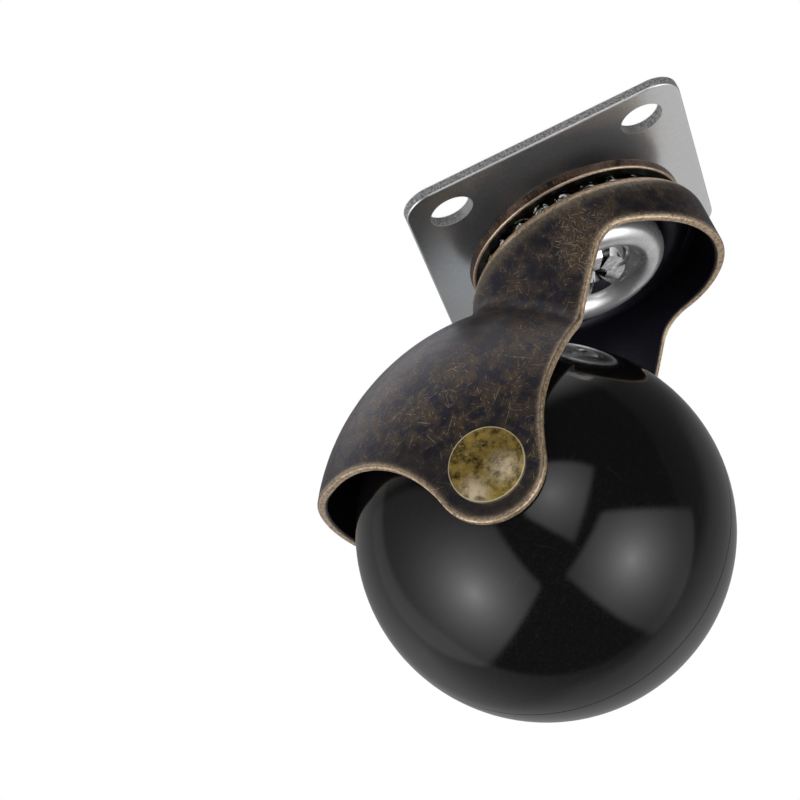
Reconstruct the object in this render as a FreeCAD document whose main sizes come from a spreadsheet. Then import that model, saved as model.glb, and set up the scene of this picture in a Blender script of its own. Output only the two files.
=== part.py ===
import FreeCAD, Part
import Sketcher
import math
import os
import re

# Swivelling ball castor, millimetres. The origin is the middle of the plate's mounting face, on the swivel
# axis; +Z points out of that face, so everything hangs below it and depths are measured down from it. The
# hood, its axle and the ball are drawn trailing along +X with the axle along Y, then turned to the heading.

SIZES = [
    ("plate_side", 40.0, "square mounting plate, edge to edge"),
    ("plate_thick", 1.5, "plate sheet"),
    ("plate_corner", 4.0, "plate corner radius"),
    ("plate_edge", 0.3, "rounding of the plate's sheared edge"),
    ("screw_inset", 6.0, "screw holes, centre to each edge of the plate"),
    ("screw_bore", 6.0, "screw hole diameter"),
    ("dish_depth", 2.0, "depth of the dish"),
    ("dish_slope", 2.5, "width of the dish's sloping wall"),
    ("dish_round", 1.0, "rounding at the dish's mouth"),
    ("dish_gap", 0.45, "dish's floor, clear of the kingpin's head"),
    ("shank_radius", 4.0, "kingpin shank"),
    ("head_lap", 1.85, "kingpin head, flat top past the shank"),
    ("head_round", 1.1, "kingpin head, rounded shoulder"),
    ("head_sink", 0.1, "kingpin head below the mounting face"),
    ("neck_step", 1.0, "kingpin neck smaller than its shank, on the radius"),
    ("stake_spread", 2.2, "staked petals spread past the neck"),
    ("stake_height", 1.7, "staked petals, height"),
    ("stake_foot", 0.5, "unsplit foot of the staked petals"),
    ("stake_taper", 1.0, "petals, how much narrower at their tips"),
    ("dimple_radius", 1.5, "punch mark in the middle of the petals"),
    ("petal_count", 6, "number of petals"),
    ("petal_gap", 0.85, "half width of a gap between petals at its mouth"),
    ("press_gap", 0.02, "radial gap of pressed joints"),
    ("upper_ball", 3.175, "upper ball diameter"),
    ("upper_row", 12.8, "upper ball row radius"),
    ("lower_ball", 2.778, "lower ball diameter"),
    ("lower_inset", 2.9, "lower ball row, outside the crown's hole"),
    ("ball_spread", 1.05, "length of a row for each ball, in ball diameters"),
    ("ball_clear", 0.1, "gap between a ball and its track"),
    ("race_lap", 2.7, "race's rim past the upper ball row"),
    ("race_thick", 1.5, "upper race sheet"),
    ("race_hub_lap", 0.45, "race's raised hub past the plate's boss"),
    ("race_rise", 1.15, "height of the hub above the rim"),
    ("race_slope", 1.9, "width of the slope from hub to rim"),
    ("race_edge", 0.25, "rounding of the race's rim"),
    ("groove_bite", 0.54, "how deep the ball track is coined into the race"),
    ("cup_sheet", 0.8, "lower cup sheet"),
    ("cup_rise", 1.1, "cup's middle above the lower ball centres"),
    ("cup_rim", 0.7, "cup's rim above the lower ball centres"),
    ("ball_radius", 25.0, "ball wheel"),
    ("flat_depth", 2.3, "depth of the flat on each side of the ball"),
    ("flat_round", 8.0, "rounding from the flat to the ball's face"),
    ("shell_thick", 3.0, "wall of the ball"),
    ("web_thick", 2.7, "wall behind the flat"),
    ("hub_wall", 2.5, "wall of the hub inside the ball"),
    ("boss_wall", 1.9, "wall of the boss on the flat"),
    ("boss_rise", 0.3, "height of the boss on the flat"),
    ("rib_count", 6, "ribs between hub and shell"),
    ("rib_thick", 1.6, "thickness of a rib"),
    ("lip_wall", 1.2, "register lip at the seam, wall"),
    ("lip_reach", 1.5, "register lip, reach past the seam"),
    ("lip_clear", 0.15, "gap round the register lip"),
    ("seam_break", 0.12, "small chamfer on each half at the seam"),
    ("trail", 21.7, "swivel axis to axle, level"),
    ("ball_depth", 16.7, "mounting face to the top of the ball"),
    ("heading", 172.3, "angle of the trail about +Z, from +X"),
    ("sheet_thick", 1.3, "hood sheet"),
    ("side_clear", 0.3, "gap between the ball's boss and the hood"),
    ("crown_below", 0.6, "crown's top below the upper ball centres"),
    ("crown_lap", 4.2, "crown's wall past the upper ball row"),
    ("crown_stop", 9.8, "crown's cylinder ends this far above the axle, before trimming"),
    ("crown_gap", 1.2, "crown's hole round the kingpin, gap"),
    ("shoulder_round", 2.6, "rounding of the crown's shoulder"),
    ("neck_round", 3.0, "fillet from the crown to the dome"),
    ("lobe_lap", 2.45, "lobe past the rivet's head"),
    ("seat_lap", 1.05, "lobe's flat past the rivet's head"),
    ("leg_angle", 52.4, "slope of the leg's front edge, degrees"),
    ("leg_offset", 4.7, "axle to the line of the leg's front edge"),
    ("leg_blend", 30.0, "arc from the front edge to the lobe"),
    ("band_height", 8.95, "crown's top to its lip, just ahead of the crown"),
    ("lip_slope", 8.2, "rise of the lip towards the legs, degrees"),
    ("notch_round", 5.5, "arc between the lip and the leg"),
    ("arch_round", 18.9, "arch behind the lobe"),
    ("arch_blend", 3.1, "arc from the arch to the rear rim"),
    ("rim_length", 5.7, "straight end of the rear rim"),
    ("rim_angle", 31.6, "slope of the rear rim, seen along the axle, degrees"),
    ("edge_break", 0.3, "tumbled edges of the hood's trimmed rim"),
    ("sleeve_radius", 3.0, "axle sleeve, outside"),
    ("sleeve_wall", 0.88, "wall of the axle sleeve"),
    ("pin_short", 3.0, "pin's end short of the far rivet head"),
    ("rivet_lap", 2.05, "rivet head past the sleeve"),
    ("rivet_rim", 0.45, "rivet head, thickness at its rim"),
    ("rivet_rise", 0.55, "rivet head, rise of its low dome"),
    ("lobe_gap", 0.03, "gap between the sleeve and the hood's holes"),
    ("run_clear", 0.06, "running clearance of the ball on the sleeve"),
]
NAMES = {entry[0] for entry in SIZES}

# Sizes and places that follow from the ones above, written as formulas of them.
SCREW_OUT = "(plate_side / 2 - screw_inset)"
HEAD_RADIUS = "(shank_radius + head_lap + head_round)"
NECK_RADIUS = "(shank_radius - neck_step)"
STAKE_RADIUS = f"({NECK_RADIUS} + stake_spread)"
DISH_FLOOR = f"({HEAD_RADIUS} + dish_gap)"
DISH_MOUTH = f"({DISH_FLOOR} + dish_slope)"
BOSS_DEPTH = "(plate_thick + dish_depth)"
RACE_HUB = f"({DISH_FLOOR} + plate_thick / 2 + race_hub_lap)"
RACE_RADIUS = "(upper_row + race_lap)"
RACE_RIM = f"({BOSS_DEPTH} + race_rise)"
UPPER_TRACK = "(upper_ball / 2 + ball_clear)"
UPPER_DEPTH = f"({RACE_RIM} + race_thick - groove_bite + {UPPER_TRACK})"
UPPER_COUNT = "floor(2 * pi * upper_row / (upper_ball * ball_spread))"
CROWN_DEPTH = f"({UPPER_DEPTH} + crown_below)"
CROWN_RADIUS = "(upper_row + crown_lap)"
CROWN_HOLE = "(shank_radius + crown_gap)"
LIP_DEPTH = f"({CROWN_DEPTH} + band_height)"
LOWER_ROW = f"({CROWN_HOLE} + lower_inset)"
LOWER_TRACK = "(lower_ball / 2 + ball_clear)"
LOWER_DEPTH = f"({CROWN_DEPTH} + sheet_thick + {LOWER_TRACK})"
LOWER_COUNT = f"floor(2 * pi * {LOWER_ROW} / (lower_ball * ball_spread))"
CUP_TOP = f"({LOWER_DEPTH} - cup_rise)"
CUP_UNDER = f"({CUP_TOP} + cup_sheet)"
DROP = "(ball_depth + ball_radius)"
FLAT_HALF = "(ball_radius - flat_depth)"
BOSS_HALF = f"({FLAT_HALF} + boss_rise)"
DOME_HALF = f"({BOSS_HALF} + side_clear + sheet_thick)"
PIN_RADIUS = "(sleeve_radius - sleeve_wall - press_gap)"
RIVET_RADIUS = "(sleeve_radius + rivet_lap)"
DOME_FLAT = f"({RIVET_RADIUS} + seat_lap)"
LOBE_RADIUS = f"({RIVET_RADIUS} + lobe_lap)"
CLEAR_OF_DOME = f"({DOME_HALF} + {DOME_FLAT} + {LOBE_RADIUS})"
ARCH_END = f"({DOME_HALF} + {DOME_FLAT} - rim_length)"
BALL_BORE = "(sleeve_radius + run_clear)"
HUB_RADIUS = f"({BALL_BORE} + hub_wall)"
SHELL_INNER = "(ball_radius - shell_thick)"
WEB_HALF = f"({FLAT_HALF} - web_thick)"
LIP_OUTER = f"({SHELL_INNER} - lip_clear)"

UP = FreeCAD.Vector(0, 0, 1)

doc = FreeCAD.newDocument("ball_castor")


def make_sheet():
    """The spreadsheet of driving sizes: name, value and what it measures."""
    table = doc.addObject("Spreadsheet::Sheet", "sizes")
    for row, (name, value, note) in enumerate(SIZES, start=1):
        table.set(f"A{row}", name)
        table.set(f"B{row}", str(value))
        table.set(f"C{row}", note)
        table.setAlias(f"B{row}", name)
    doc.recompute()
    return table


sheet = make_sheet()


def worth(text):
    """The number that a formula of the sheet's names gives."""
    value = sheet.evalExpression(text)
    return float(getattr(value, "Value", value))


def bind(thing, prop, text):
    """Ties one property to a formula of the sheet."""
    thing.setExpression(prop, re.sub(r"[a-z]+(_[a-z]+)*", sheet_name, text))


def sheet_name(match):
    word = match.group(0)
    return f"sizes.{word}" if word in NAMES else word


def new_body(label):
    body = doc.addObject("PartDesign::Body", label)
    body.Label = label
    return body


def sketch_on(body, name, role="XZ_Plane", offset=("0", "0", "0")):
    """Sketch on one of the body's own planes, moved by an offset in the sketch's own directions."""
    sketch = body.newObject("Sketcher::SketchObject", name)
    plane = next(item for item in body.Origin.OriginFeatures if item.Role == role)
    sketch.AttachmentSupport = [(plane, "")]
    sketch.MapMode = "FlatFace"
    for axis, text in zip("xyz", offset):
        if text != "0":
            bind(sketch, f"AttachmentOffset.Base.{axis}", text)
    doc.recompute()
    return sketch


def axle_sketch(body, name):
    """Sketch in the level plane of the axle: x is the distance from the axle and y runs along it."""
    return sketch_on(body, name, "XY_Plane", ("trail", "0", f"-{DROP}"))


def arc_between(start, end, radius):
    """Arc under a half turn from start to end: a positive radius bends left, a negative one right."""
    along = end - start
    left = FreeCAD.Vector(-along.y, along.x, 0).normalize()
    rise = math.sqrt(max(0.0, radius * radius - along.Length ** 2 / 4))
    centre = (start + end) * 0.5 + left * math.copysign(rise, radius)
    first, last = (start, end) if radius > 0 else (end, start)
    angles = [math.atan2(point.y - centre.y, point.x - centre.x) for point in (first, last)]
    return Part.ArcOfCircle(Part.Circle(centre, UP, abs(radius)), *angles)


def add_chain(sketch, points, bends):
    """Closed chain of edges; each edge ends at its point and bends by its radius, or is straight at zero."""
    chain = []
    for index, (end, bend) in enumerate(zip(points, bends)):
        start = points[index - 1]
        if bend == 0:
            edge = sketch.addGeometry(Part.LineSegment(start, end))
        else:
            edge = sketch.addGeometry(arc_between(start, end, bend))
        chain.append((edge, 2, 1) if bend < 0 else (edge, 1, 2))
    return chain


def hold(sketch, kind, *items):
    """Adds a constraint; a formula as its last item is set as its value and tied to the sheet."""
    if not isinstance(items[-1], str):
        return sketch.addConstraint(Sketcher.Constraint(kind, *items))
    value = worth(items[-1])
    if kind == "Angle":
        value = math.radians(value)
    number = sketch.addConstraint(Sketcher.Constraint(kind, *items[:-1], value))
    bind(sketch, f"Constraints[{number}]", items[-1])
    return number


def pin_point(sketch, edge, end, x_text, y_text):
    """Places one end of an edge, or a circle's middle, at (x, y), each a formula."""
    for kind, axis, text in (("DistanceX", -2, x_text), ("DistanceY", -1, y_text)):
        if text == "0":
            hold(sketch, "PointOnObject", edge, end, axis)
        else:
            hold(sketch, kind, edge, end, text)


def draw_profile(sketch, corners):
    """Closed outline through corners (x, y), or (x, y, bend) where the edge that ends there is an arc."""
    points = [FreeCAD.Vector(worth(corner[0]), worth(corner[1]), 0) for corner in corners]
    bends = [worth(corner[2]) if len(corner) == 3 else 0 for corner in corners]
    chain = add_chain(sketch, points, bends)
    for index, (edge, _, last) in enumerate(chain):
        after = chain[(index + 1) % len(chain)]
        hold(sketch, "Coincident", edge, last, after[0], after[1])
        pin_point(sketch, edge, last, corners[index][0], corners[index][1])
        if bends[index]:
            hold(sketch, "Radius", edge, corners[index][2].lstrip("-"))
    return sketch


def draw_circle(sketch, x_text, y_text, radius_text):
    centre = FreeCAD.Vector(worth(x_text), worth(y_text), 0)
    edge = sketch.addGeometry(Part.Circle(centre, UP, worth(radius_text)))
    pin_point(sketch, edge, 3, x_text, y_text)
    hold(sketch, "Radius", edge, radius_text)
    return sketch


def turned(body, name, sketch, cut=False):
    """Revolution of a sketch about its own vertical axis, or Groove where cut."""
    feature = body.newObject("PartDesign::Groove" if cut else "PartDesign::Revolution", name)
    feature.Profile = sketch
    feature.ReferenceAxis = (sketch, ["V_Axis"])
    feature.Angle = 360
    sketch.Visibility = False
    doc.recompute()
    return feature


def drawn_out(body, name, sketch, length, cut=False, way="up"):
    """Pad of a sketch along its normal, or Pocket where cut; way is up, down or both."""
    feature = body.newObject("PartDesign::Pocket" if cut else "PartDesign::Pad", name)
    feature.Profile = sketch
    feature.SideType = "Symmetric" if way == "both" else "One side"
    feature.Reversed = way == ("up" if cut else "down")
    bind(feature, "Length", length)
    sketch.Visibility = False
    doc.recompute()
    return feature


def rounded(body, name, base, test, radius):
    """Fillet on the edges of the base feature that pass the test."""
    found = [f"Edge{number}" for number, edge in enumerate(base.Shape.Edges, start=1) if test(edge)]
    feature = body.newObject("PartDesign::Fillet", name)
    feature.Base = (base, found)
    bind(feature, "Radius", radius)
    doc.recompute()
    return feature


def ringed(body, name, original, axis, count):
    """The original feature repeated evenly round an axis."""
    feature = body.newObject("PartDesign::PolarPattern", name)
    feature.Originals = [original]
    feature.Axis = axis
    feature.Angle = 360
    bind(feature, "Occurrences", count)
    body.Tip = feature
    doc.recompute()
    return feature


def is_ring(edge, radius, level):
    """True for a circle of this radius about the swivel axis at this height, both formulas."""
    curve = edge.Curve
    if not isinstance(curve, Part.Circle):
        return False
    return abs(curve.Radius - worth(radius)) < 0.01 and abs(curve.Center.z - worth(level)) < 0.01


def make_top_plate():
    """Pressed steel plate: rounded square, four screw holes, and a dish that sinks the kingpin's head."""
    body = new_body("top_plate")
    half = "plate_side / 2"
    blank = sketch_on(body, "plate_blank", "XY_Plane")
    draw_profile(blank, [(f"-{half}", f"-{half}"), (half, f"-{half}"), (half, half), (f"-{half}", half)])
    slab = drawn_out(body, "plate_slab", blank, "plate_thick", way="down")
    corners = rounded(body, "plate_corners", slab, lambda edge: edge.BoundBox.ZLength > 0.5, "plate_corner")
    rounded(body, "plate_rim", corners, lambda edge: edge.BoundBox.ZLength < 0.01, "plate_edge")
    boss = sketch_on(body, "boss_profile")
    draw_profile(boss, [("0", "-plate_thick / 2"), (f"{DISH_MOUTH} + plate_thick / 2", "-plate_thick / 2"),
                        (f"{DISH_MOUTH} + plate_thick / 2", "-plate_thick"),
                        (f"{DISH_FLOOR} + plate_thick / 2", f"-{BOSS_DEPTH}"), ("0", f"-{BOSS_DEPTH}")])
    turned(body, "boss", boss)
    dish = sketch_on(body, "dish_profile")
    draw_profile(dish, [("0", "0"), ("0", "-dish_depth"), (DISH_FLOOR, "-dish_depth"), (DISH_MOUTH, "0")])
    pressed = turned(body, "dish", dish, cut=True)
    rounded(body, "dish_lip", pressed, lambda edge: is_ring(edge, DISH_MOUTH, "0"), "dish_round")
    bore = draw_circle(sketch_on(body, "pin_spot", "XY_Plane"), "0", "0", "shank_radius + press_gap")
    drawn_out(body, "pin_hole", bore, BOSS_DEPTH, cut=True, way="down")
    spot = draw_circle(sketch_on(body, "screw_spot", "XY_Plane"), SCREW_OUT, SCREW_OUT, "screw_bore / 2")
    hole = drawn_out(body, "screw_hole", spot, "plate_thick", cut=True, way="down")
    ringed(body, "screw_holes", hole, (spot, ["N_Axis"]), "4")
    return body


def make_kingpin():
    """Swivel pin: flat head in the dish, shank, and a lower end split and spread into petals over the cup."""
    body = new_body("kingpin")
    foot = f"-({CUP_UNDER} + stake_height)"
    profile = sketch_on(body, "kingpin_profile")
    draw_profile(profile, [
        ("0", "-head_sink"), (f"{HEAD_RADIUS} - head_round", "-head_sink"),
        (HEAD_RADIUS, "-head_sink - head_round", "-head_round"),
        (HEAD_RADIUS, "-dish_depth"), ("shank_radius", "-dish_depth"),
        ("shank_radius", f"-{CUP_TOP}"), (NECK_RADIUS, f"-{CUP_TOP}"), (NECK_RADIUS, f"-{CUP_UNDER}"),
        (STAKE_RADIUS, f"-{CUP_UNDER}"), (STAKE_RADIUS, f"-({CUP_UNDER} + stake_foot)"),
        (f"{STAKE_RADIUS} - stake_taper", foot), ("dimple_radius", foot),
        ("0", f"{foot} + dimple_radius / 2")])
    turned(body, "kingpin_turned", profile)
    gap = sketch_on(body, "petal_gap_profile", "XY_Plane", ("0", "0", foot))
    draw_profile(gap, [("dimple_radius / 2", "0"), (f"{STAKE_RADIUS} + petal_gap", "-petal_gap"),
                       (f"{STAKE_RADIUS} + petal_gap", "petal_gap")])
    split = drawn_out(body, "petal_split", gap, "stake_height - stake_foot", cut=True, way="up")
    ringed(body, "petals", split, (gap, ["N_Axis"]), "petal_count")
    return body


def make_upper_race():
    """Pressed race under the plate: raised hub, sloping rim and a ball track coined into its underside."""
    body = new_body("upper_race")
    rim = f"({RACE_RIM} + race_thick)"
    reach = f"sqrt({UPPER_TRACK} ^ 2 - ({UPPER_TRACK} - groove_bite) ^ 2)"
    bore = "shank_radius + press_gap"
    profile = sketch_on(body, "race_profile")
    draw_profile(profile, [
        (bore, f"-{BOSS_DEPTH}"), (RACE_HUB, f"-{BOSS_DEPTH}"), (f"{RACE_HUB} + race_slope", f"-{RACE_RIM}"),
        (RACE_RADIUS, f"-{RACE_RIM}"), (RACE_RADIUS, f"-{rim}"), (f"upper_row + {reach}", f"-{rim}"),
        (f"upper_row - {reach}", f"-{rim}", UPPER_TRACK),
        (f"{RACE_HUB} + race_slope - race_thick / 3", f"-{rim}"),
        (f"{RACE_HUB} - race_thick / 3", f"-({BOSS_DEPTH} + race_thick)"),
        (bore, f"-({BOSS_DEPTH} + race_thick)")])
    disc = turned(body, "race_turned", profile)
    rims = lambda edge: is_ring(edge, RACE_RADIUS, f"-{RACE_RIM}") or is_ring(edge, RACE_RADIUS, f"-{rim}")
    rounded(body, "race_rims", disc, rims, "race_edge")
    return body


def make_lower_cup():
    """Pressed cup under the crown: flat middle under the kingpin's shoulder, and a round trough for balls."""
    body = new_body("lower_cup")
    deep = f"({LOWER_TRACK} + cup_sheet)"
    bore = f"{NECK_RADIUS} + press_gap"
    level = f"-{LOWER_DEPTH}"
    profile = sketch_on(body, "cup_profile")
    draw_profile(profile, [
        (bore, f"-{CUP_TOP}"), (f"{LOWER_ROW} - {LOWER_TRACK} - cup_rise", f"-{CUP_TOP}"),
        (f"{LOWER_ROW} - {LOWER_TRACK}", level, "-cup_rise"),
        (LOWER_ROW, f"{level} - {LOWER_TRACK}", LOWER_TRACK),
        (f"{LOWER_ROW} + {LOWER_TRACK}", level, LOWER_TRACK),
        (f"{LOWER_ROW} + {LOWER_TRACK}", f"{level} + cup_rim"),
        (f"{LOWER_ROW} + {deep}", f"{level} + cup_rim"), (f"{LOWER_ROW} + {deep}", level),
        (LOWER_ROW, f"{level} - {deep}", f"-{deep}"), (f"{LOWER_ROW} - {deep}", level, f"-{deep}"),
        (f"{LOWER_ROW} - {LOWER_TRACK} - cup_rise", f"-{CUP_UNDER}", "cup_rise - cup_sheet"),
        (bore, f"-{CUP_UNDER}")])
    turned(body, "cup_turned", profile)
    return body


def neck_edge(edge, radius):
    """True where the dome meets the crown's wall: a bent edge that lies on the wall all the way."""
    points = edge.discretize(9)
    box = edge.BoundBox
    on_wall = all(abs(math.hypot(point.x, point.y) - worth(radius)) < 0.02 for point in points)
    return on_wall and box.ZLength > 0.1 and box.XLength > 1


def make_hood_block(label, skin, shoulder):
    """Solid crown and dome, joined by a fillet: the hood's outside, or with a skin taken off, its hollow."""
    body = new_body(label)
    top = f"({CROWN_DEPTH} + {skin})"
    wall = f"({CROWN_RADIUS} - {skin})"
    half = f"({DOME_HALF} - {skin})"
    disc = sketch_on(body, f"{label}_crown_disc", "XY_Plane", ("0", "0", f"-{top}"))
    draw_circle(disc, "0", "0", wall)
    drawn_out(body, f"{label}_crown", disc, f"{DROP} - crown_stop - {top}", way="down")
    arc = axle_sketch(body, f"{label}_dome_profile")
    draw_profile(arc, [("0", f"-{half}"), (DOME_FLAT, f"-{half}"), (f"{DOME_FLAT} + {half}", "0", half),
                       (DOME_FLAT, half, half), ("0", half)])
    joined = turned(body, f"{label}_dome", arc)
    neck = rounded(body, f"{label}_neck", joined, lambda edge: neck_edge(edge, wall), "neck_round")
    rounded(body, f"{label}_shoulder", neck, lambda edge: is_ring(edge, wall, f"-{top}"), shoulder)
    return body


def trim_points():
    """Corners of the side outline and the bend of the edge that ends at each, as numbers."""
    vector = FreeCAD.Vector
    axle = vector(worth("trail"), -worth(DROP), 0)
    leg, lip, rim = (math.radians(worth(name)) for name in ("leg_angle", "lip_slope", "rim_angle"))
    notch, blend, lobe = worth("notch_round"), worth("leg_blend"), worth(LOBE_RADIUS)
    arch, counter = worth("arch_round"), worth("arch_blend")
    start = vector(worth(f"-{CROWN_RADIUS} - 1"), worth(f"-{LIP_DEPTH}"), 0)
    lip_way, lip_open = vector(math.cos(lip), math.sin(lip), 0), vector(math.sin(lip), -math.cos(lip), 0)
    leg_way, leg_open = vector(math.cos(leg), -math.sin(leg), 0), vector(-math.sin(leg), -math.cos(leg), 0)
    lip_far, leg_far = start.dot(lip_open) + notch, axle.dot(leg_open) + worth("leg_offset") + notch
    across = lip_open.x * leg_open.y - lip_open.y * leg_open.x
    middle = vector((lip_far * leg_open.y - leg_far * lip_open.y) / across,
                    (leg_far * lip_open.x - lip_far * leg_open.x) / across, 0)
    side = worth("leg_offset") + blend
    swing = axle + leg_open * side - leg_way * math.sqrt((blend + lobe) ** 2 - side ** 2)
    rim_way, rim_up = vector(math.cos(rim), math.sin(rim), 0), vector(-math.sin(rim), math.cos(rim), 0)
    turn = axle + rim_way * worth(ARCH_END) + rim_up * counter
    gap = turn.sub(axle).Length
    near = ((arch + lobe) ** 2 - (arch + counter) ** 2 + gap ** 2) / (2 * gap)
    out = (turn - axle).normalize()
    hollow = axle + out * near + vector(out.y, -out.x, 0) * math.sqrt((arch + lobe) ** 2 - near ** 2)
    floor = worth(f"-{DROP} - {CLEAR_OF_DOME}")
    far = axle + rim_way * worth(CLEAR_OF_DOME)
    return [
        (start, 0), (middle - lip_open * notch, 0), (middle - leg_open * notch, -notch),
        (swing - leg_open * blend, 0), (axle + (swing - axle).normalize() * lobe, -blend),
        (axle - vector(0, lobe, 0), lobe), (axle + (hollow - axle).normalize() * lobe, lobe),
        (hollow + (turn - hollow).normalize() * arch, -arch), (turn - rim_up * counter, counter),
        (far, 0), (vector(far.x, floor, 0), 0), (vector(start.x, floor, 0), 0)]


def draw_trim(sketch):
    """Side outline: lip, notch, leg, lobe round the axle, rear arch and rear rim, all run into each other."""
    corners = trim_points()
    chain = add_chain(sketch, [corner[0] for corner in corners], [corner[1] for corner in corners])
    close, lip, notch, leg, blend, lobe, lobe_rear, arch, counter, rim, back, floor = chain
    smooth = [(lip, notch), (notch, leg), (leg, blend), (blend, lobe), (lobe_rear, arch), (arch, counter),
              (counter, rim)]
    for before, after in smooth:
        hold(sketch, "Tangent", before[0], before[2], after[0], after[1])
    for before, after in ((close, lip), (lobe, lobe_rear), (rim, back), (back, floor), (floor, close)):
        hold(sketch, "Coincident", before[0], before[2], after[0], after[1])
    pin_point(sketch, close[0], 2, f"-{CROWN_RADIUS} - 1", f"-{LIP_DEPTH}")
    pin_point(sketch, lobe[0], 3, "trail", f"-{DROP}")
    hold(sketch, "Coincident", lobe[0], 3, lobe_rear[0], 3)
    hold(sketch, "DistanceX", lobe[0], 2, "trail")
    for edge, radius in ((notch, "notch_round"), (blend, "leg_blend"), (lobe, LOBE_RADIUS),
                         (arch, "arch_round"), (counter, "arch_blend")):
        hold(sketch, "Radius", edge[0], radius)
    hold(sketch, "Angle", lip[0], "lip_slope")
    hold(sketch, "Angle", leg[0], "-leg_angle")
    hold(sketch, "Distance", lobe[0], 3, leg[0], "leg_offset")
    hold(sketch, "Angle", rim[0], "rim_angle")
    hold(sketch, "PointOnObject", lobe[0], 3, rim[0])
    hold(sketch, "Distance", lobe[0], 3, rim[0], 1, ARCH_END)
    hold(sketch, "Distance", lobe[0], 3, rim[0], 2, CLEAR_OF_DOME)
    hold(sketch, "Vertical", back[0])
    hold(sketch, "Horizontal", floor[0])
    hold(sketch, "Vertical", close[0])
    hold(sketch, "DistanceY", floor[0], 1, f"-{DROP} - {CLEAR_OF_DOME}")
    return sketch


def is_trimmed(face):
    """True for a face that the side outline cut: below the crown, with no lean along the axle anywhere."""
    if face.CenterOfMass.z > -worth(f"{CROWN_DEPTH} + 2 * sheet_thick"):
        return False
    first, last, low, high = face.ParameterRange
    shares = (0.2, 0.5, 0.8)
    spots = [(first + (last - first) * u, low + (high - low) * v) for u in shares for v in shares]
    return all(abs(face.normalAt(*spot).y) < 1e-3 for spot in spots)


def break_rim(body, base):
    """Small chamfer along both edges of every trimmed face of the sheet."""
    cut = [face for face in base.Shape.Faces if is_trimmed(face)]
    found = []
    for number, edge in enumerate(base.Shape.Edges, start=1):
        beside = base.Shape.ancestorsOfType(edge, Part.Face)
        if sum(any(face.isSame(other) for other in cut) for face in beside) == 1:
            found.append(f"Edge{number}")
    feature = body.newObject("PartDesign::Chamfer", "broken_rim")
    feature.Base = (base, found)
    bind(feature, "Size", "edge_break")
    doc.recompute()
    return feature


def turn_to_heading(thing):
    thing.Placement = FreeCAD.Placement(FreeCAD.Vector(), FreeCAD.Rotation(UP, worth("heading")))
    bind(thing, "Placement.Rotation.Angle", "heading")


def make_hood():
    """One pressed sheet: crown with a ball track, dome over the ball, two legs with lobes on the axle."""
    hollow = make_hood_block("hood_hollow", "sheet_thick", "shoulder_round - sheet_thick")
    groove = sketch_on(hollow, "track_bulge_profile")
    draw_circle(groove, "upper_row", f"-{UPPER_DEPTH}", f"{UPPER_TRACK} + sheet_thick")
    turned(hollow, "track_bulge", groove, cut=True)
    body = make_hood_block("hood", "0", "shoulder_round")
    shell = body.newObject("PartDesign::Boolean", "hood_shell")
    shell.Type = "Cut"
    shell.setObjects([hollow])
    doc.recompute()
    outline = draw_trim(sketch_on(body, "side_outline"))
    trimmed = drawn_out(body, "side_trim", outline, f"2 * ({DOME_HALF} + sheet_thick)", cut=True, way="both")
    break_rim(body, trimmed)
    track = draw_circle(sketch_on(body, "track_profile"), "upper_row", f"-{UPPER_DEPTH}", UPPER_TRACK)
    turned(body, "track", track, cut=True)
    spot = sketch_on(body, "crown_spot", "XY_Plane", ("0", "0", f"-{CROWN_DEPTH}"))
    draw_circle(spot, "0", "0", CROWN_HOLE)
    drawn_out(body, "crown_bore", spot, "2 * sheet_thick", cut=True, way="down")
    eye = draw_circle(sketch_on(body, "axle_spot"), "trail", f"-{DROP}", "sleeve_radius + lobe_gap")
    drawn_out(body, "axle_eyes", eye, f"2 * ({DOME_HALF} + sheet_thick)", cut=True, way="both")
    turn_to_heading(body)
    return body


def rivet_head(side):
    """Outline of a low domed rivet head on the lobe's flat, from the middle out, on one side of the ball."""
    seat = f"{side} * {DOME_HALF}"
    crown = f"({RIVET_RADIUS} ^ 2 + rivet_rise ^ 2) / (2 * rivet_rise)"
    bend = f"-{crown}" if side == "1" else crown
    return [("0", f"{side} * ({DOME_HALF} + rivet_rim + rivet_rise)"),
            (RIVET_RADIUS, f"{side} * ({DOME_HALF} + rivet_rim)", bend), (RIVET_RADIUS, seat)]


def make_axle_rivet():
    """Near rivet: head on the near lobe and a solid pin pressed into the sleeve."""
    body = new_body("axle_rivet")
    tip = f"-({DOME_HALF} - pin_short)"
    profile = axle_sketch(body, "rivet_profile")
    draw_profile(profile, rivet_head("1") + [(PIN_RADIUS, DOME_HALF), (PIN_RADIUS, tip), ("0", tip)])
    turned(body, "rivet_turned", profile)
    turn_to_heading(body)
    return body


def make_axle_sleeve():
    """Far rivet: head on the far lobe and the tube that the ball turns on, open at the near end."""
    body = new_body("axle_sleeve")
    mouth = f"{DOME_HALF} - press_gap"
    deep = f"-({DOME_HALF} - pin_short + press_gap)"
    bore = f"{PIN_RADIUS} + press_gap"
    profile = axle_sketch(body, "sleeve_profile")
    draw_profile(profile, rivet_head("-1") + [("sleeve_radius", f"-{DOME_HALF}"), ("sleeve_radius", mouth),
                                              (bore, mouth), (bore, deep), ("0", deep)])
    turned(body, "sleeve_turned", profile)
    turn_to_heading(body)
    return body


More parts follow.
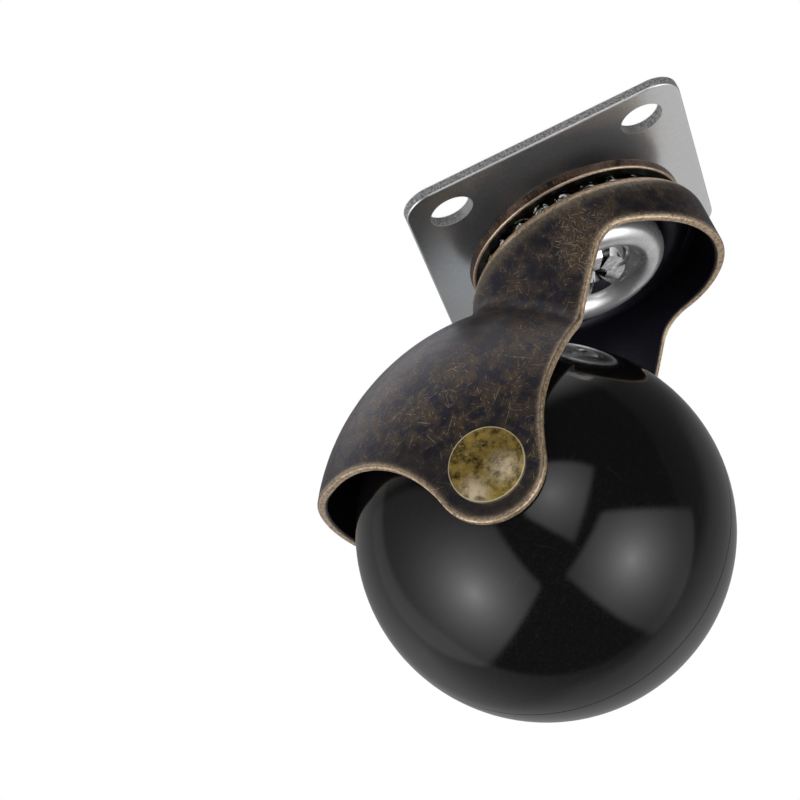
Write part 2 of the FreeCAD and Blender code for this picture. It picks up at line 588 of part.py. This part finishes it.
def half_outside(side):
    """Outside of a ball half from the bore to the seam: boss, flat, rounding and the ball's face."""
    bend = "-" if side == "1" else ""
    small = "(ball_radius - flat_round)"
    low = f"({FLAT_HALF} - flat_round)"
    boss = f"{BALL_BORE} + boss_wall"
    off = f"sqrt({small} ^ 2 - {low} ^ 2)"
    return [(BALL_BORE, f"{side} * {BOSS_HALF}"), (boss, f"{side} * {BOSS_HALF}"),
            (boss, f"{side} * {FLAT_HALF}"), (off, f"{side} * {FLAT_HALF}"),
            (f"{off} * ball_radius / {small}", f"{side} * {low} * ball_radius / {small}",
             f"{bend}flat_round"),
            ("sqrt(ball_radius ^ 2 - seam_break ^ 2)", f"{side} * seam_break", f"{bend}ball_radius"),
            ("ball_radius - seam_break", "0")]


def half_inside(side, lip):
    """Inside of a ball half from the seam to the bore: register lip or plain edge, shell, web and hub."""
    bend = "" if side == "1" else "-"
    web = f"sqrt({SHELL_INNER} ^ 2 - {WEB_HALF} ^ 2)"
    tail = [(web, f"{side} * {WEB_HALF}", f"{bend}{SHELL_INNER}"), (HUB_RADIUS, f"{side} * {WEB_HALF}"),
            (HUB_RADIUS, "0"), (BALL_BORE, "0")]
    if not lip:
        return [(SHELL_INNER, "0")] + tail
    inner = f"({LIP_OUTER} - lip_wall)"
    return [(LIP_OUTER, "0"), (LIP_OUTER, f"-{side} * lip_reach"), (inner, f"-{side} * lip_reach"),
            (inner, f"{side} * sqrt({SHELL_INNER} ^ 2 - {inner} ^ 2)")] + tail


def make_ball_half(label, side, lip):
    """Moulded half of the ball: shell, hub, web and ribs; one half has a lip that registers in the other."""
    body = new_body(label)
    profile = axle_sketch(body, f"{label}_profile")
    draw_profile(profile, half_outside(side) + half_inside(side, lip))
    turned(body, f"{label}_turned", profile)
    bend = "" if side == "1" else "-"
    reach = "(ball_radius - shell_thick / 2)"
    back = "(lip_reach + 2 * lip_clear)"
    behind = f"({FLAT_HALF} - web_thick / 2)"
    rib = axle_sketch(body, f"{label}_rib_profile")
    inner = f"({LIP_OUTER} - lip_wall + shell_thick / 4)"
    draw_profile(rib, [(f"{HUB_RADIUS} - rib_thick / 2", f"{side} * {back}"), (inner, f"{side} * {back}"),
                       (f"sqrt({reach} ^ 2 - {behind} ^ 2)", f"{side} * {behind}", f"{bend}{reach}"),
                       (f"{HUB_RADIUS} - rib_thick / 2", f"{side} * {behind}")])
    first = drawn_out(body, f"{label}_rib", rib, "rib_thick", way="both")
    ringed(body, f"{label}_ribs", first, (rib, ["V_Axis"]), "rib_count")
    turn_to_heading(body)
    return body


def make_ball_row(label, diameter, row, depth, count):
    """Ring of loose bearing balls, each a piece of its own."""
    balls = []
    for place in range(round(worth(count))):
        ball = doc.addObject("Part::Sphere", f"{label}_{place + 1:02d}")
        ball.Label = f"{label}_{place + 1:02d}"
        bind(ball, "Radius", f"{diameter} / 2")
        bind(ball, "Placement.Base.x", f"{row} * cos({place} * 360 / {count})")
        bind(ball, "Placement.Base.y", f"{row} * sin({place} * 360 / {count})")
        bind(ball, "Placement.Base.z", f"-{depth}")
        balls.append(ball)
    doc.recompute()
    return balls


def make_all():
    pieces = [make_top_plate(), make_kingpin(), make_upper_race(), make_hood(), make_lower_cup()]
    pieces += [make_axle_rivet(), make_axle_sleeve()]
    pieces += [make_ball_half("ball_half_near", "1", True), make_ball_half("ball_half_far", "-1", False)]
    pieces += make_ball_row("upper_ball", "upper_ball", "upper_row", UPPER_DEPTH, UPPER_COUNT)
    pieces += make_ball_row("lower_ball", "lower_ball", LOWER_ROW, LOWER_DEPTH, LOWER_COUNT)
    return pieces


def check_all(pieces):
    """Stops before anything is written where a feature failed or a piece isn't one sound solid."""
    for item in doc.Objects:
        if {"Invalid", "Error"} & set(item.State):
            raise RuntimeError(f"{item.Label} failed: {item.State}")
    for piece in pieces:
        shape = piece.Shape
        if shape.isNull() or not shape.isValid() or len(shape.Solids) != 1:
            raise RuntimeError(f"{piece.Label} is not one sound solid")


pieces = make_all()
doc.recompute()
check_all(pieces)
os.makedirs("parts", exist_ok=True)
for piece in pieces:
    piece.Shape.exportStep(f"parts/{piece.Label}.step")
    print(piece.Label, round(piece.Shape.Volume, 2))
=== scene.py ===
import math

import bpy
import numpy as np
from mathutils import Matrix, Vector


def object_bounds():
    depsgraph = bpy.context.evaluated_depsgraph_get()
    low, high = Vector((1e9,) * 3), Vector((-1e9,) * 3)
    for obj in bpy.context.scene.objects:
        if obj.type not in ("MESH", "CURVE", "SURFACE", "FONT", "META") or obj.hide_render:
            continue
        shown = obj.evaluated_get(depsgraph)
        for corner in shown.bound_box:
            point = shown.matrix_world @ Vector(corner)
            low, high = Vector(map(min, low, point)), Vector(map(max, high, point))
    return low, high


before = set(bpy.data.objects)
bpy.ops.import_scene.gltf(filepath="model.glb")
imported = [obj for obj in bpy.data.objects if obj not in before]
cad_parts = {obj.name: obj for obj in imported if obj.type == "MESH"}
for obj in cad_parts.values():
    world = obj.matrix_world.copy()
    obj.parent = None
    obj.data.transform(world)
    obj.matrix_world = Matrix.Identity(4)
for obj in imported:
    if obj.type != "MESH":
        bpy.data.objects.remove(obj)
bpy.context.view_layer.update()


# Mounting plate: 1.5 mm steel sheet, blanked, dished in the middle and zinc plated. Its faces keep a fine
# rolled grain and the sheared edge and holes are torn and speckled. On the underside, painted shade darkens
# it towards the left and next to the race, and a painted reflection makes it whiter towards the right.

def feed(tree, node, **inputs):
    """Fills a node's inputs: what is a socket is linked, and a value is set. Input i2 is the third one."""
    for name, value in inputs.items():
        key = int(name[1:]) if name[0] == "i" and name[1:].isdigit() else name.replace("_", " ")
        if isinstance(value, bpy.types.NodeSocket):
            tree.links.new(value, node.inputs[key])
        else:
            node.inputs[key].default_value = value


def put(tree, kind, settings=None, **inputs):
    """A node with its settings and inputs."""
    node = tree.nodes.new("ShaderNode" + kind)
    for name, value in (settings or {}).items():
        setattr(node, name, value)
    feed(tree, node, **inputs)
    return node


def new_finish(name):
    """A material with an empty node tree, and its shader."""
    finish = bpy.data.materials.new(name)
    finish.use_nodes = True
    tree = finish.node_tree
    tree.nodes.clear()
    shader = put(tree, "BsdfPrincipled")
    put(tree, "OutputMaterial", Surface=shader.outputs["BSDF"])
    return finish, tree, shader


def dress(node, finish):
    """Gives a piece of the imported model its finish."""
    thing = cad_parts[node]
    thing.data.materials.clear()
    thing.data.materials.append(finish)


def maths(tree, operation, first, second=0.0):
    """One sum on numbers."""
    return put(tree, "Math", {"operation": operation}, i0=first, i1=second).outputs[0]


def product(tree, first, *others):
    """Numbers multiplied."""
    for other in others:
        first = maths(tree, "MULTIPLY", first, other)
    return first


def total(tree, first, *others):
    """Numbers added up."""
    for other in others:
        first = maths(tree, "ADD", first, other)
    return first


def largest(tree, first, *others):
    """The largest of some numbers."""
    for other in others:
        first = maths(tree, "MAXIMUM", first, other)
    return first


def vectors(tree, operation, first, second=(0.0, 0.0, 0.0), scale=1.0, out=0):
    """One sum on vectors; out=1 where it gives a number."""
    node = put(tree, "VectorMath", {"operation": operation}, i0=first, i1=second, i3=scale)
    return node.outputs[out]


def length(tree, vector):
    """Length of a vector."""
    return vectors(tree, "LENGTH", vector, out=1)


def dot(tree, first, second):
    """Dot product of two vectors."""
    return vectors(tree, "DOT_PRODUCT", first, second, out=1)


def beside(tree, vector, way):
    """The part of a vector that is square to a direction."""
    return vectors(tree, "SUBTRACT", vector, vectors(tree, "PROJECT", vector, way))


def split(tree, vector):
    """The three numbers of a vector."""
    return put(tree, "SeparateXYZ", Vector=vector).outputs


def join(tree, x=0.0, y=0.0, z=0.0):
    """A vector of three numbers."""
    return put(tree, "CombineXYZ", X=x, Y=y, Z=z).outputs[0]


def ease(tree, value, low, high, to_low=0.0, to_high=1.0):
    """Smooth step of a value from low to high."""
    node = put(tree, "MapRange", {"interpolation_type": "SMOOTHSTEP"}, Value=value, From_Min=low,
               From_Max=high, To_Min=to_low, To_Max=to_high)
    return node.outputs["Result"]


def grey(level):
    """A neutral colour."""
    return (level, level, level)


def tint(tree, share, first, second):
    """Colour between the first and the second by a share."""
    node = put(tree, "Mix", {"data_type": "RGBA", "blend_type": "MIX", "clamp_factor": True}, i0=share)
    for key, colour in (("i6", first), ("i7", second)):
        feed(tree, node, **{key: colour if isinstance(colour, bpy.types.NodeSocket) else (*colour, 1.0)})
    return node.outputs[2]


def millimetres(tree):
    """Place on the piece in millimetres."""
    return vectors(tree, "SCALE", put(tree, "TexCoord").outputs["Object"], scale=1000.0)


def surface_way(tree):
    """Direction in which the surface faces."""
    return put(tree, "TexCoord").outputs["Normal"]


def off_swivel(tree, place):
    """Distance from the swivel axis."""
    return length(tree, vectors(tree, "MULTIPLY", place, (1.0, 1.0, 0.0)))


def grains(tree, place, scale, detail=4.0, rough=0.55, bend=0.0):
    """Cloudy noise with features about 1/scale millimetres wide."""
    node = put(tree, "TexNoise", Vector=place, Scale=scale, Detail=detail, Roughness=rough, Distortion=bend)
    return node.outputs["Fac"]


def bumps(tree, height, depth_mm, strength=1.0, **before):
    """Relief of a height from 0 to 1, depth_mm deep, on the surface or on the Normal given."""
    node = put(tree, "Bump", Height=height, Strength=strength, Distance=depth_mm / 1000.0, **before)
    return node.outputs["Normal"]


def bright_edges(tree, reach_mm, full=0.80):
    """1 at a convex edge or corner, falling to 0 about reach_mm away from it."""
    soft = put(tree, "Bevel", {"samples": 6}, Radius=reach_mm / 1000.0).outputs["Normal"]
    true = put(tree, "NewGeometry").outputs["True Normal"]
    return ease(tree, dot(tree, soft, true), 0.997, full)


zinc, tree, shader = new_finish("plate_zinc_satin")
place = millimetres(tree)
x, y, _ = split(tree, place)
upward = split(tree, surface_way(tree))[2]
radius = off_swivel(tree, place)
drawn = put(tree, "Mapping", Vector=place, Scale=(0.3, 1.0, 1.0)).outputs[0]
rolled = grains(tree, drawn, 7.0, 6.0, 0.75)
cloud = grains(tree, place, 0.10, 4.0, 0.6)
base = tint(tree, ease(tree, cloud, 0.3, 0.7), grey(0.66), grey(0.80))
base = tint(tree, ease(tree, rolled, 0.45, 0.75, 0.0, 0.5), base, grey(0.60))
dished = ease(tree, radius, 13.0, 9.0)
base = tint(tree, product(tree, dished, 0.5), base, (0.84, 0.84, 0.83))

# Painted shade and reflection on the underside: darker grey towards the left, bluish grey beside the race,
# white towards the right.
painted_shade_left = product(tree, ease(tree, x, 2.0, -15.0), ease(tree, y, 16.0, -12.0, 0.35, 0.85))
painted_shade_by_race = product(tree, ease(tree, radius, 24.0, 14.5), ease(tree, x, 16.0, 8.0))
painted_light_and_grease_film = tint(tree, painted_shade_left, base, (0.24, 0.25, 0.26))
painted_light_and_grease_film = tint(tree, ease(tree, x, 8.0, 16.0), painted_light_and_grease_film, grey(1.0))
painted_light_and_grease_film = tint(tree, painted_shade_by_race, painted_light_and_grease_film, (0.60, 0.635, 0.68))
base = tint(tree, ease(tree, upward, -0.8, -0.9), base, painted_light_and_grease_film)

steep = ease(tree, maths(tree, "ABSOLUTE", upward), 0.45, 0.15)
sheared = product(tree, steep, ease(tree, radius, 16.5, 18.0))
torn = grains(tree, place, 3.2, 4.0, 0.8)
base = tint(tree, sheared, base, tint(tree, ease(tree, torn, 0.35, 0.65), grey(0.13), grey(0.62)))
base = tint(tree, bright_edges(tree, 0.35), base, (0.88, 0.88, 0.87))
feed(tree, shader, Base_Color=base, Metallic=ease(tree, sheared, 0.0, 1.0, 0.90, 0.30),
     Roughness=ease(tree, rolled, 0.2, 0.8, 0.24, 0.36), Normal=bumps(tree, rolled, 0.005))
dress("top_plate", zinc)


# Kingpin: turned steel pin. The head is left matt and granular in the dish, the other end is split and
# spread into six bright petals that hold the bearing together.

pin, tree, shader = new_finish("kingpin_steel")
place = millimetres(tree)
level = split(tree, place)[2]
HEAD_FOOT, HEAD_FULL = -1.6, -0.6
head = ease(tree, level, HEAD_FOOT, HEAD_FULL)
sand = grains(tree, place, 4.0, 3.0, 0.8)
smear = grains(tree, place, 0.9, 4.0, 0.6)
matt = tint(tree, ease(tree, sand, 0.35, 0.65), grey(0.10), (0.36, 0.355, 0.35))
petal = tint(tree, ease(tree, smear, 0.42, 0.60), (0.62, 0.62, 0.63), grey(0.86))
feed(tree, shader, Base_Color=tint(tree, head, petal, matt), Metallic=1.0,
     Roughness=ease(tree, level, HEAD_FOOT, HEAD_FULL, 0.12, 0.48),
     Normal=bumps(tree, product(tree, sand, head), 0.05))
dress("kingpin", pin)


# Upper race: steel disc pressed on the plate's boss, plated coppery brown. Its rim keeps the upright marks of
# the shearing tool and its lower lip is rubbed bright.

RACE_RADIUS, RACE_UNDER = 15.5, -6.15

race, tree, shader = new_finish("race_bronze")
place = millimetres(tree)
x, y, z = split(tree, place)
radius = off_swivel(tree, place)
along_rim = product(tree, maths(tree, "ARCTAN2", y, x), RACE_RADIUS)
strokes = grains(tree, join(tree, along_rim, product(tree, z, 0.2)), 4.5, 3.0, 0.75)
stains = grains(tree, place, 0.6, 5.0, 0.6)
speck = grains(tree, place, 5.0, 3.0, 0.7)
lip = product(tree, ease(tree, z, RACE_UNDER + 0.31, RACE_UNDER + 0.19),
              ease(tree, radius, RACE_RADIUS - 0.48, RACE_RADIUS - 0.35))
under = product(tree, ease(tree, z, RACE_UNDER + 0.20, RACE_UNDER + 0.10),
                ease(tree, radius, RACE_RADIUS - 0.28, RACE_RADIUS - 0.42))
base = tint(tree, ease(tree, stains, 0.35, 0.65), (0.050, 0.034, 0.027), (0.15, 0.095, 0.068))
base = tint(tree, ease(tree, strokes, 0.52, 0.72, 0.0, 0.75), base, (0.46, 0.34, 0.25))
base = tint(tree, product(tree, lip, ease(tree, speck, 0.3, 0.6, 0.4, 1.0)), base, (0.66, 0.51, 0.37))
base = tint(tree, under, base, (0.012, 0.011, 0.010))
feed(tree, shader, Base_Color=base, Metallic=0.8, Roughness=ease(tree, stains, 0.3, 0.7, 0.30, 0.42),
     Normal=bumps(tree, strokes, 0.03))
dress("upper_race", race)


# Bearing balls: polished hardened steel, in two open rows above and below the hood's crown, loose between
# their tracks. A yellowish grease is smeared over part of them, and near-white patches in it are painted
# glints.

ball_steel, tree, shader = new_finish("bearing_steel")
place = millimetres(tree)
painted_light_and_grease_film = grains(tree, place, 0.35, 3.0, 0.6)
smear = ease(tree, grains(tree, place, 1.2, 3.0, 0.6, 0.5), 0.52, 0.60)
# Near-white patches are painted glints; the yellow ones are grease.
grease_and_painted_glints = tint(tree, ease(tree, painted_light_and_grease_film, 0.50, 0.60), (0.90, 0.92, 0.90), (0.72, 0.72, 0.22))
feed(tree, shader, Base_Color=tint(tree, smear, (0.42, 0.43, 0.44), grease_and_painted_glints),
     Metallic=maths(tree, "SUBTRACT", 1.0, smear), Roughness=ease(tree, painted_light_and_grease_film, 0.45, 0.65, 0.10, 0.22))
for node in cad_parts:
    if node.startswith(("upper_ball_", "lower_ball_")):
        dress(node, ball_steel)


# Hood: one 1.3 mm steel pressing, bronze plated, blackened and rubbed back, then lacquered. The dark skin is
# broken by golden patches of fine random scratches, and the trimmed edges are rubbed to pale brass.

HEADING = math.radians(172.3)
TRAIL, DROP = 21.7, 41.7
DOME_HALF, DOME_FLAT, CROWN, CROWN_TOP = 24.6, 6.1, 17.0, -7.9
SHEET = 1.3
NOTCH = (-1.5, 17.0, -15.8)


def scratches(tree, place, normal, cell_mm, width_mm, length_mm, share):
    """Short strokes lying in the surface: one through the middle of each cell, in a random direction.
    A point is on the stroke where its distance across it is under half the width, and along it under half
    the length. Only the given share of the cells has one, each as bright as its own random number."""
    cells = put(tree, "TexVoronoi", {"voronoi_dimensions": "3D"}, Vector=place, Scale=1.0 / cell_mm)
    chance, strength, _ = put(tree, "SeparateColor", Color=cells.outputs["Color"]).outputs
    way = vectors(tree, "SUBTRACT", cells.outputs["Color"], (0.5, 0.5, 0.5))
    way = vectors(tree, "NORMALIZE", beside(tree, way, normal))
    off = beside(tree, vectors(tree, "SUBTRACT", place, cells.outputs["Position"]), normal)
    line = ease(tree, length(tree, beside(tree, off, way)), width_mm, width_mm * 0.3)
    ends = ease(tree, maths(tree, "ABSOLUTE", dot(tree, off, way)), length_mm * 0.5, length_mm * 0.1)
    there = product(tree, maths(tree, "LESS_THAN", chance, share), ease(tree, strength, 0.1, 0.9, 0.2, 1.0))
    return product(tree, line, ends, there)


patina, tree, shader = new_finish("hood_antique_bronze")
place = millimetres(tree)
normal = surface_way(tree)

# Places on the sheet: depth is 0 on its outer skin and -SHEET on its inner one, u runs along the trail and w
# along the axle.
u, w, z = split(tree, put(tree, "Mapping", Vector=place, Rotation=(0.0, 0.0, -HEADING)).outputs[0])
off_axle = length(tree, join(tree, maths(tree, "SUBTRACT", u, TRAIL), total(tree, z, DROP)))
past_flat = largest(tree, maths(tree, "SUBTRACT", off_axle, DOME_FLAT), 0.0)
dome = maths(tree, "SUBTRACT", length(tree, join(tree, past_flat, w)), DOME_HALF)
wall = maths(tree, "SUBTRACT", length(tree, join(tree, u, w)), CROWN)
crown = largest(tree, wall, maths(tree, "SUBTRACT", z, CROWN_TOP))
depth = maths(tree, "MINIMUM", dome, crown)
outer = ease(tree, depth, -0.9, -0.3)
inside = ease(tree, depth, 0.28 - SHEET, 0.08 - SHEET)
rim = product(tree, ease(tree, depth, -0.05, -0.25), maths(tree, "SUBTRACT", 1.0, inside))
to_notch = vectors(tree, "SUBTRACT", join(tree, u, maths(tree, "ABSOLUTE", w), z), NOTCH)
notch = product(tree, ease(tree, length(tree, to_notch), 7.0, 1.5), outer)
shoulder = product(tree, ease(tree, z, -11.8, -9.0), outer)

# Wear: broad clouds, mottling and grain add up to how golden a place is, and scratches show most there.
broad = grains(tree, place, 0.075, 2.0, 0.5)
mottle = grains(tree, place, 0.50, 5.0, 0.6, 0.4)
grain = grains(tree, place, 2.2, 7.0, 0.75)
dots = grains(tree, place, 6.0, 4.0, 0.8)
gold = total(tree, product(tree, mottle, 0.6), product(tree, grain, 0.4),
             product(tree, maths(tree, "SUBTRACT", broad, 0.5), 0.55),
             product(tree, largest(tree, notch, shoulder), 0.11))
rub = product(tree, ease(tree, gold, 0.46, 0.72), ease(tree, dots, 0.42, 0.62, 0.12, 1.0))
long_marks = scratches(tree, place, normal, 3.4, 0.036, 4.2, 0.6)
fine_marks = scratches(tree, place, normal, 1.5, 0.030, 1.7, 0.75)
tiny_marks = scratches(tree, place, normal, 0.8, 0.030, 0.8, 0.75)
marks = largest(tree, long_marks, fine_marks, tiny_marks)
notch_marks = scratches(tree, place, normal, 0.95, 0.030, 2.2, 0.95)
crinkle = product(tree, notch_marks, ease(tree, notch, 0.15, 0.80))
edge = product(tree, bright_edges(tree, 1.4, 0.90), ease(tree, z, -8.3, -9.6, 0.25, 1.0))
patchy = total(tree, grain, product(tree, dots, 0.5))
rubbed = product(tree, edge, ease(tree, patchy, 0.52, 0.86, 0.15, 1.0))
# Painted highlight: the crown's shoulder is coloured a lighter grey-gold and made more metallic, following
# the grain.
painted_shoulder_highlight = product(tree, shoulder, ease(tree, grain, 0.35, 0.65, 0.3, 0.9))

black = tint(tree, ease(tree, broad, 0.42, 0.58), (0.013, 0.011, 0.012), (0.012, 0.012, 0.024))
base = tint(tree, ease(tree, mottle, 0.32, 0.60), black, (0.036, 0.028, 0.024))
base = tint(tree, rub, base, (0.165, 0.106, 0.052))
glint = product(tree, marks, ease(tree, gold, 0.42, 0.66, 0.05, 1.0))
base = tint(tree, largest(tree, glint, crinkle), base, (0.62, 0.49, 0.33))
base = tint(tree, painted_shoulder_highlight, base, (0.30, 0.26, 0.19))
base = tint(tree, rubbed, base, (0.88, 0.67, 0.44))
rim_colour = tint(tree, ease(tree, grain, 0.32, 0.60), (0.20, 0.135, 0.085), (0.90, 0.68, 0.45))
base = tint(tree, rim, base, rim_colour)
base = tint(tree, inside, base, (0.010, 0.010, 0.016))
bare = largest(tree, product(tree, rub, 0.6), rubbed, rim, painted_shoulder_highlight)
folds = product(tree, notch, grains(tree, place, 0.55, 3.0, 0.5, 1.5))
relief = total(tree, product(tree, grain, 0.06), product(tree, marks, -0.03), product(tree, folds, 0.8),
               product(tree, crinkle, 0.08))
feed(tree, shader, Base_Color=base, Roughness=ease(tree, grain, 0.30, 0.70, 0.30, 0.46),
     Metallic=ease(tree, maths(tree, "SUBTRACT", bare, inside), 0.0, 1.0, 0.25, 0.6),
     Specular_IOR_Level=0.45, Specular_Tint=(0.82, 0.82, 1.0, 1.0), Coat_Weight=0.12, Coat_Roughness=0.22,
     Normal=bumps(tree, relief, 1.0, 0.8))
dress("hood", patina)


# Lower cup: pressed and polished nickel-plated sheet, a rounded trough that carries the lower balls. The
# kingpin's petals hold it inside the crown.

nickel, tree, shader = new_finish("cup_nickel_polished")
cloud = grains(tree, millimetres(tree), 0.35, 4.0, 0.6)
feed(tree, shader, Base_Color=tint(tree, ease(tree, cloud, 0.4, 0.7), grey(0.92), grey(0.80)), Metallic=0.78,
     Roughness=ease(tree, cloud, 0.35, 0.65, 0.26, 0.36), Normal=bumps(tree, cloud, 0.05))
dress("lower_cup", nickel)


# Axle: a low domed brass-plated rivet from the near side and its sleeve from the far side, pressed together
# through the lobes. The heads are mottled gold and olive, with two painted highlights as pale spots and a
# thin bright rim.

BALL_MIDDLE = (-21.504, 2.908, -41.7)
AXLE_WAY = (-0.133986, -0.990983, 0.0)
HEAD_RADIUS = 5.05
PAINTED_HIGHLIGHTS = ((1.82, -0.25, -1.6), (-2.95, 0.40, -2.7))

brass, tree, shader = new_finish("rivet_brass")
place = millimetres(tree)
off = beside(tree, vectors(tree, "SUBTRACT", place, BALL_MIDDLE), AXLE_WAY)
stain = grains(tree, place, 0.75, 6.0, 0.62)
patch = grains(tree, place, 1.1, 4.0, 0.6, 0.8)
grain = grains(tree, place, 2.6, 5.0, 0.75)
base = tint(tree, ease(tree, stain, 0.34, 0.64), (0.075, 0.052, 0.012), (0.48, 0.33, 0.080))
base = tint(tree, ease(tree, patch, 0.55, 0.70, 0.0, 0.7), base, (0.15, 0.085, 0.025))
base = tint(tree, ease(tree, grain, 0.50, 0.72, 0.0, 0.6), base, (0.78, 0.62, 0.28))
# Painted highlights: two soft pale cream spots on the heads.
for spot in PAINTED_HIGHLIGHTS:
    apart = length(tree, vectors(tree, "SUBTRACT", off, spot))
    painted_highlight = product(tree, ease(tree, apart, 3.0, 0.2), ease(tree, stain, 0.34, 0.60, 0.25, 0.95))
    base = tint(tree, painted_highlight, base, (1.0, 0.83, 0.58))
rim = ease(tree, length(tree, off), HEAD_RADIUS - 0.20, HEAD_RADIUS - 0.08, 0.0, 0.9)
base = tint(tree, rim, base, (0.88, 0.78, 0.52))
feed(tree, shader, Base_Color=base, Metallic=0.9, Roughness=ease(tree, grain, 0.3, 0.7, 0.36, 0.50),
     Normal=bumps(tree, grain, 0.02))
dress("axle_rivet", brass)
dress("axle_sleeve", brass)


# Ball wheel: two glossy black moulded halves that meet at a fine seam, with the faintest waviness of the
# moulding and a few hairline scuffs. The gloss is that of a full sphere: the rounding at the flats doesn't
# bend it.

plastic, tree, shader = new_finish("ball_black_gloss")
place = millimetres(tree)
normal = surface_way(tree)
wave = grains(tree, place, 0.10, 2.0)
dust = grains(tree, place, 2.4, 4.0, 0.7)
hair = scratches(tree, place, normal, 6.0, 0.03, 5.0, 0.35)
base = tint(tree, ease(tree, dust, 0.45, 0.75), (0.0045, 0.0045, 0.0050), (0.010, 0.010, 0.011))
base = tint(tree, product(tree, hair, 0.25), base, grey(0.10))
off = vectors(tree, "SUBTRACT", place, BALL_MIDDLE)
outside = ease(tree, length(tree, off), 23.0, 24.0)
sphere = vectors(tree, "NORMALIZE", off)
smooth = put(tree, "Mix", {"data_type": "VECTOR"}, i0=outside, i4=normal, i5=sphere).outputs[1]
feed(tree, shader, Base_Color=base, IOR=1.5, Roughness=ease(tree, dust, 0.35, 0.75, 0.06, 0.12),
     Normal=bumps(tree, wave, 0.02, Normal=smooth))
dress("ball_half_near", plastic)
dress("ball_half_far", plastic)


# Pale paper floor under the ball, seen from above only: from below it lets the view and the light through, as
# if the castor were held up in the studio. Further out it runs into the white of the room.

FLOOR_REACH, FLOOR_GAP = 3.0, 0.0002


def disc_mesh(name, reach, level, sectors=96):
    """A flat disc facing up: the corners x = r cos a, y = r sin a at one level, r being the reach."""
    a = np.linspace(0, 2 * np.pi, sectors, endpoint=False)
    corners = np.stack([reach * np.cos(a), reach * np.sin(a), np.full_like(a, level)], -1)
    mesh = bpy.data.meshes.new(name)
    mesh.from_pydata(corners.tolist(), [], [list(range(sectors))])
    return mesh


lowest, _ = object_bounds()
floor = bpy.data.objects.new("floor", disc_mesh("floor", FLOOR_REACH, lowest.z - FLOOR_GAP))
bpy.context.scene.collection.objects.link(floor)
paper, tree, shader = new_finish("floor_paper")
away = length(tree, put(tree, "TexCoord").outputs["Object"])
feed(tree, shader, Base_Color=(0.86, 0.86, 0.86, 1.0), Roughness=0.9, Specular_IOR_Level=0.1,
     Emission_Color=(1.0, 1.0, 1.0, 1.0), Emission_Strength=ease(tree, away, 0.10, 0.70, 0.20, 1.0))
seen = put(tree, "LightPath").outputs["Is Camera Ray"]
from_below = put(tree, "NewGeometry").outputs["Backfacing"]
shown = product(tree, seen, maths(tree, "SUBTRACT", 1.0, from_below))
clear = put(tree, "BsdfTransparent").outputs[0]
both = put(tree, "MixShader", Fac=shown, i1=clear, i2=shader.outputs[0]).outputs[0]
end = next(node for node in tree.nodes if node.type == "OUTPUT_MATERIAL")
feed(tree, end, Surface=both)
floor.data.materials.append(paper)


# Studio: white paper all round for the view. The light comes from the room: a bright ceiling, two large soft
# panels low on either side of the viewer with a small one between them, and a grey wall behind the castor.

# Each panel: its middle as azimuth and elevation, the level there, how fast it falls, the softness of its
# edges, and its corners.
PANELS = (
    ((-156, -25), 4.8, 4.5, 0.04, ((-117, 20), (150, 40), (150, -30), (-117, -51))),  # large, on the left
    ((-26, -50), 4.5, 4.7, 0.04, ((15, -12), (-52, -25), (-93, -54), (58, -50))),  # large, below on the right
    ((-78, -6), 2.7, 4.2, 0.04, ((-49, 1), (-72, 14), (-97, 14), (-98, -12), (-76, -38))),  # small, between
    ((140, 0), 0.50, 1.8, 0.06, ((165, 60), (-5, 60), (-5, 0), (85, -61), (165, -17))),  # wall
    ((66, -24), 0.44, 2.4, 0.12, ((112, 24), (28, 24), (28, -38), (66, -52), (112, -46))),  # its pale part
)
DARK_ROOM = 0.045


def facing(azimuth, elevation):
    """Direction from azimuth about +Z and elevation, in degrees."""
    a, e = math.radians(azimuth), math.radians(elevation)
    return np.array([math.cos(e) * math.cos(a), math.cos(e) * math.sin(a), math.sin(e)])


def panel(tree, ray, middle, hot, fall, soft, corners):
    """Light of a flat panel with straight edges, given by the directions of its corners, anticlockwise as the
    castor sees them: nothing outside, and inside the hot level times e to the power -fall times the square
    root of 1 - cosine of the angle from its middle."""
    ways = [facing(*corner) for corner in corners]
    inside = 1.0
    for first, second in zip(ways, ways[1:] + ways[:1]):
        square = np.cross(first, second)
        past = dot(tree, ray, (square / np.linalg.norm(square)).tolist())
        inside = product(tree, inside, ease(tree, past, -soft, soft))
    behind = maths(tree, "SUBTRACT", 1.0, dot(tree, ray, facing(*middle).tolist()))
    away = maths(tree, "SQRT", largest(tree, behind, 0.0))
    glow = maths(tree, "EXPONENT", product(tree, away, -fall))
    return product(tree, inside, product(tree, glow, hot))


world = bpy.data.worlds.new("studio")
bpy.context.scene.world = world
world.use_nodes = True
tree = world.node_tree
tree.nodes.clear()
ray = put(tree, "TexCoord").outputs["Generated"]
ceiling = ease(tree, split(tree, ray)[2], 0.68, 0.92)
light = total(tree, ceiling, DARK_ROOM, *(panel(tree, ray, *each) for each in PANELS))
seen = put(tree, "LightPath").outputs["Is Camera Ray"]
colour = tint(tree, seen, join(tree, light, light, light), grey(1.0))
back = put(tree, "Background", Color=colour, Strength=1.0)
put(tree, "OutputWorld", Surface=back.outputs[0])


# Camera: a long lens below the castor, looking up at it. Its place and lens were fitted to the plate's edges
# and holes, the ball's outline and the rivet.

lens = bpy.data.cameras.new("camera")
lens.sensor_width = 36.0
lens.lens = 145.421
lens.clip_start, lens.clip_end = 0.01, 20.0
camera = bpy.data.objects.new("camera", lens)
camera.location = (-0.028916, -0.380158, -0.225860)
camera.rotation_euler = tuple(math.radians(turn) for turn in (121.51409, 22.40468, 13.49664))
bpy.context.scene.collection.objects.link(camera)
bpy.context.scene.camera = camera
bpy.context.scene.view_settings.view_transform = "Standard"
